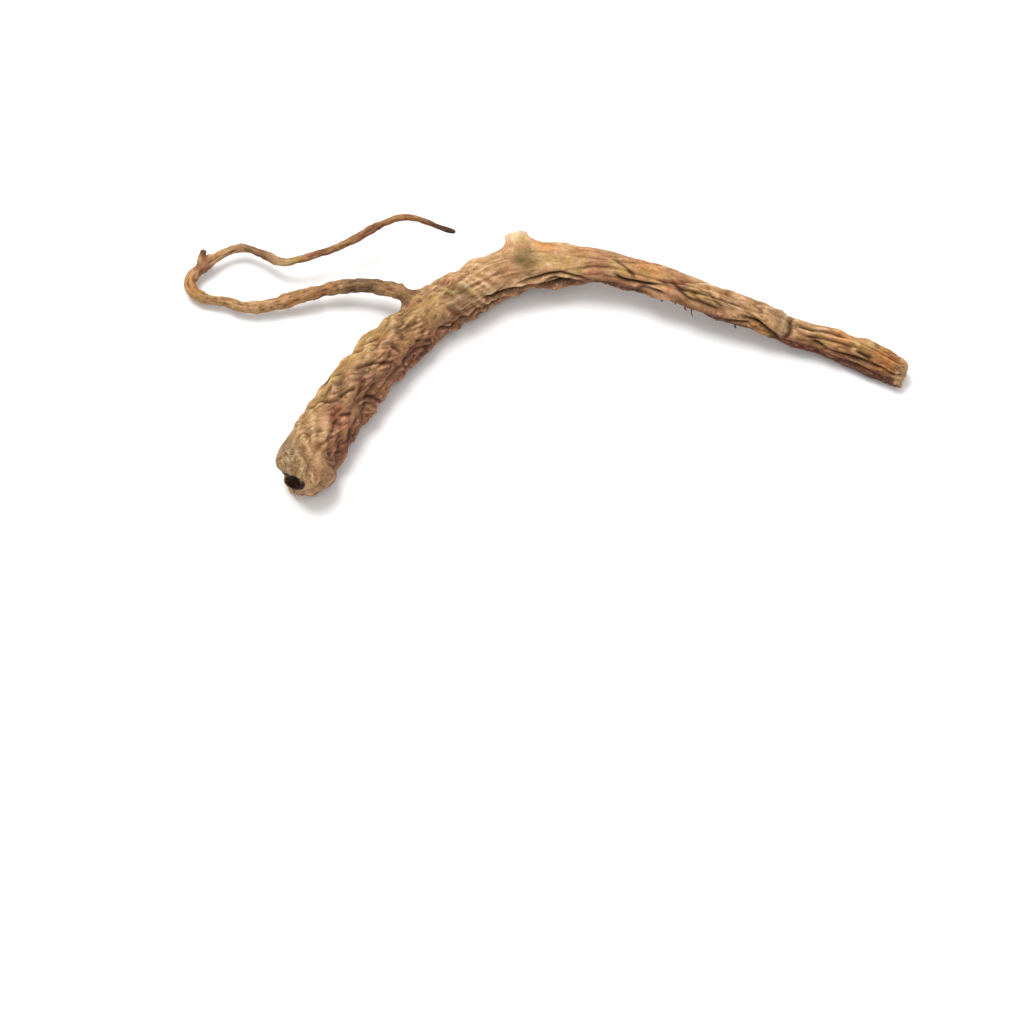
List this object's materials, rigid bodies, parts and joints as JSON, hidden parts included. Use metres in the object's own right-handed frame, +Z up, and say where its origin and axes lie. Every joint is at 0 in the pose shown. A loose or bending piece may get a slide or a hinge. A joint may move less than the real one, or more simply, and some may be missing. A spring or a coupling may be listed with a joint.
{
  "type": "dried dong quai root",
  "caption": "Dried arched tap root with a broken hollow head, a short stub, furrowed warty skin and a thin side root that loops back.",
  "frame": {"origin": "middle of the root's box on the surface that it lies on", "axes": "+X from the side root's loop towards the tap root's ragged tip, +Y towards the top of the arch, +Z up from the surface"},
  "size_m": [0.1917, 0.0838, 0.0158],
  "materials": {
    "root_skin": "dry matt skin, ochre on the ridges and purple brown in the furrows"
  },
  "bodies": {
    "root": {"root": "root_skin"}
  },
  "joints": []
}
